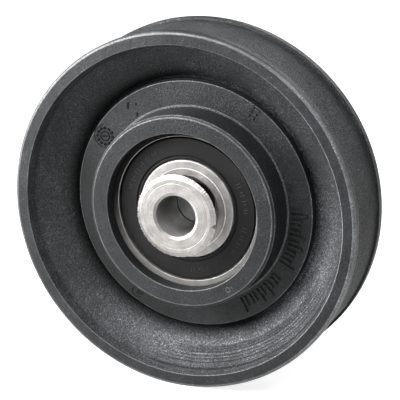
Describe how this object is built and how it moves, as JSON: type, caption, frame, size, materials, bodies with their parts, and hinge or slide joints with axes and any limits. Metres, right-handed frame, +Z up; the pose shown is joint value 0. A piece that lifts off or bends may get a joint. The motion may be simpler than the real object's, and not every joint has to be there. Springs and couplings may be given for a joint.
{
  "type": "belt tensioner idler",
  "caption": "Flanged flat idler pulley with a dished web, moulded over a sealed ball bearing that turns on a clamped metal spacer bush.",
  "frame": {"origin": "centre of the wheel: on the bolt axis, midway between the two faces of the belt rim", "axes": "+Y along the bolt axis towards the back, front nose towards -Y, +Z up, +X to the right seen from the front"},
  "size_m": [0.0888, 0.0254, 0.0888],
  "materials": {
    "moulded_nylon": "matte",
    "seal_rubber": "satin",
    "bearing_steel": "polished",
    "pressed_steel": "satin",
    "bush_metal": "satin"
  },
  "bodies": {
    "core": {"bush_front": "bush_metal", "bush_rear": "bush_metal", "bearing_inner_ring": "bearing_steel"},
    "wheel": {"pulley_wheel": "moulded_nylon", "bearing_outer_ring": "bearing_steel", "seal_front_rubber": "seal_rubber", "seal_front_insert": "pressed_steel", "seal_rear_rubber": "seal_rubber", "seal_rear_insert": "pressed_steel"},
    "cage": {"cage_front": "pressed_steel", "cage_rear": "pressed_steel", "cage_rivet_1": "pressed_steel", "cage_rivet_2": "pressed_steel", "cage_rivet_3": "pressed_steel", "cage_rivet_4": "pressed_steel", "cage_rivet_5": "pressed_steel", "cage_rivet_6": "pressed_steel", "cage_rivet_7": "pressed_steel", "cage_rivet_8": "pressed_steel"},
    "rolling_ball_1": {"ball_1": "bearing_steel"},
    "rolling_ball_2": {"ball_2": "bearing_steel"},
    "rolling_ball_3": {"ball_3": "bearing_steel"},
    "rolling_ball_4": {"ball_4": "bearing_steel"},
    "rolling_ball_5": {"ball_5": "bearing_steel"},
    "rolling_ball_6": {"ball_6": "bearing_steel"},
    "rolling_ball_7": {"ball_7": "bearing_steel"},
    "rolling_ball_8": {"ball_8": "bearing_steel"}
  },
  "joints": [
    {"name": "pulley_spin", "type": "hinge", "parent": "core", "child": "wheel", "pos_m": [0, 0, 0], "axis": [0, 1, 0], "continuous": true},
    {"name": "cage_spin", "type": "hinge", "parent": "core", "child": "cage", "pos_m": [0, 0, 0], "axis": [0, 1, 0], "continuous": true},
    {"name": "ball_1_spin", "type": "hinge", "parent": "cage", "child": "rolling_ball_1", "pos_m": [0.01425, 0, 0], "axis": [0, 1, 0], "continuous": true},
    {"name": "ball_2_spin", "type": "hinge", "parent": "cage", "child": "rolling_ball_2", "pos_m": [0.01008, 0, 0.01008], "axis": [0, 1, 0], "continuous": true},
    {"name": "ball_3_spin", "type": "hinge", "parent": "cage", "child": "rolling_ball_3", "pos_m": [0, 0, 0.01425], "axis": [0, 1, 0], "continuous": true},
    {"name": "ball_4_spin", "type": "hinge", "parent": "cage", "child": "rolling_ball_4", "pos_m": [-0.01008, 0, 0.01008], "axis": [0, 1, 0], "continuous": true},
    {"name": "ball_5_spin", "type": "hinge", "parent": "cage", "child": "rolling_ball_5", "pos_m": [-0.01425, 0, 0], "axis": [0, 1, 0], "continuous": true},
    {"name": "ball_6_spin", "type": "hinge", "parent": "cage", "child": "rolling_ball_6", "pos_m": [-0.01008, 0, -0.01008], "axis": [0, 1, 0], "continuous": true},
    {"name": "ball_7_spin", "type": "hinge", "parent": "cage", "child": "rolling_ball_7", "pos_m": [0, 0, -0.01425], "axis": [0, 1, 0], "continuous": true},
    {"name": "ball_8_spin", "type": "hinge", "parent": "cage", "child": "rolling_ball_8", "pos_m": [0.01008, 0, -0.01008], "axis": [0, 1, 0], "continuous": true}
  ],
  "couplings": [
    {"joint": "cage_spin", "follows": "pulley_spin", "ratio": 0.61837},
    {"joint": "ball_1_spin", "follows": "pulley_spin", "ratio": 1.9937},
    {"joint": "ball_2_spin", "follows": "pulley_spin", "ratio": 1.9937},
    {"joint": "ball_3_spin", "follows": "pulley_spin", "ratio": 1.9937},
    {"joint": "ball_4_spin", "follows": "pulley_spin", "ratio": 1.9937},
    {"joint": "ball_5_spin", "follows": "pulley_spin", "ratio": 1.9937},
    {"joint": "ball_6_spin", "follows": "pulley_spin", "ratio": 1.9937},
    {"joint": "ball_7_spin", "follows": "pulley_spin", "ratio": 1.9937},
    {"joint": "ball_8_spin", "follows": "pulley_spin", "ratio": 1.9937}
  ]
}
